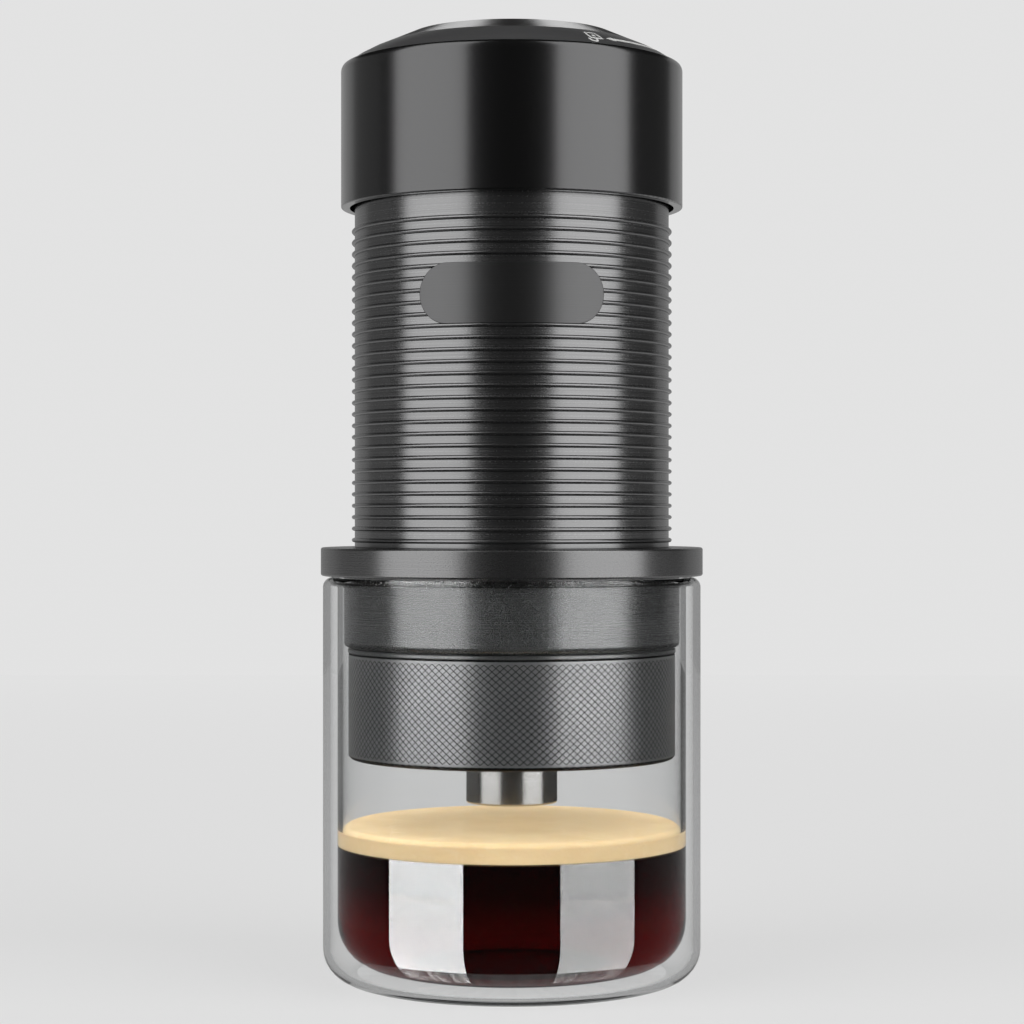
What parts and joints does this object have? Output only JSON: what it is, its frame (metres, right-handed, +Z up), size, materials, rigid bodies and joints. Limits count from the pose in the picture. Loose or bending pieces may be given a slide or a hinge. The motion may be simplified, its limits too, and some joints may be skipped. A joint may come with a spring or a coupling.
{
  "type": "handheld manual espresso maker",
  "caption": "Hand-pumped espresso maker: ribbed black tank body, twist-lock pump head, knurled portafilter and spout, resting by its flange on a double-wall glass.",
  "frame": {"origin": "centre of the cup's foot, on the surface it stands on", "axes": "+Z up along the common axis of cup, body and pump; -Y is the front, where the blank plate is"},
  "size_m": [0.07, 0.07, 0.1727],
  "materials": {
    "black_aluminium": "satin black anodised",
    "black_knurl": "black anodised, diamond knurl",
    "clear_glass": "clear borosilicate, blown",
    "coffee": "brewed coffee, nearly black, red where it is thin",
    "crema": "fine hazelnut foam",
    "grey_silicone": "grey silicone",
    "housing_plastic": "black glass-filled nylon",
    "plate_black": "fine matte black",
    "polished_steel": "mirror polished",
    "ring_black": "matte black anodised with a pale printed mark",
    "seal_rubber": "black food silicone",
    "spring_steel": "drawn spring wire",
    "steel": "brushed stainless steel",
    "tank_plastic": "smoke grey moulded food plastic",
    "white_acetal": "turned white acetal"
  },
  "bodies": {
    "cup": {"cup_outer_glass": "clear_glass", "cup_inner_glass": "clear_glass", "coffee": "coffee", "crema": "crema"},
    "maker_body": {"cup_flange": "black_aluminium", "brew_head": "black_aluminium", "tank_seal": "seal_rubber", "collar_seal": "grey_silicone", "group_gasket": "grey_silicone", "shower_screen": "steel", "water_tank": "tank_plastic", "ribbed_sleeve": "black_aluminium", "front_plate": "plate_black"},
    "basket": {"filter_basket": "steel"},
    "portafilter": {"portafilter": "black_knurl", "spout": "polished_steel", "spout_washer": "seal_rubber", "spout_nut": "steel"},
    "pump_unit": {"pump_housing": "housing_plastic", "housing_o_ring": "seal_rubber", "pump_cylinder": "steel", "rod_guide": "white_acetal", "rod_wiper": "seal_rubber", "valve_block": "white_acetal", "outlet_o_ring": "seal_rubber", "inlet_flap": "grey_silicone", "valve_seat": "white_acetal", "outlet_spring": "spring_steel", "return_spring": "spring_steel"},
    "check_ball": {"outlet_ball": "steel"},
    "plunger": {"piston": "white_acetal", "piston_seals": "seal_rubber", "piston_rod": "steel", "shoulder_screw": "steel"},
    "pump_head": {"cap_shell": "black_aluminium", "lock_core": "housing_plastic", "core_screws": "steel", "indicator_ring": "ring_black", "top_disc": "polished_steel"}
  },
  "joints": [
    {"name": "body_lift", "type": "slide", "parent": "cup", "child": "maker_body", "axis": [0, 0, 1], "range_m": [0, 0.05]},
    {"name": "basket_drop", "type": "slide", "parent": "maker_body", "child": "basket", "axis": [0, 0, -1], "range_m": [0, 0.003]},
    {"name": "portafilter_turn", "type": "hinge", "parent": "basket", "child": "portafilter", "pos_m": [0, 0, 0.0627], "axis": [0, 0, -1], "range_deg": [0, 270]},
    {"name": "pump_lift", "type": "slide", "parent": "maker_body", "child": "pump_unit", "axis": [0, 0, 1], "range_m": [0, 0.07]},
    {"name": "outlet_ball_travel", "type": "slide", "parent": "pump_unit", "child": "check_ball", "axis": [0, 0, -1], "range_m": [0, 0.001], "stiffness_N_per_m": 100, "deforming": ["outlet_spring"]},
    {"name": "pump_stroke", "type": "slide", "parent": "pump_unit", "child": "plunger", "axis": [0, 0, 1], "range_m": [0, 0.024], "deforming": ["return_spring"]},
    {"name": "head_turn", "type": "hinge", "parent": "plunger", "child": "pump_head", "pos_m": [0, 0, 0.165], "axis": [0, 0, -1], "range_deg": [0, 40]}
  ],
  "couplings": [
    {"joint": "basket_drop", "follows": "portafilter_turn", "m_per_rad": 0.00063662}
  ]
}
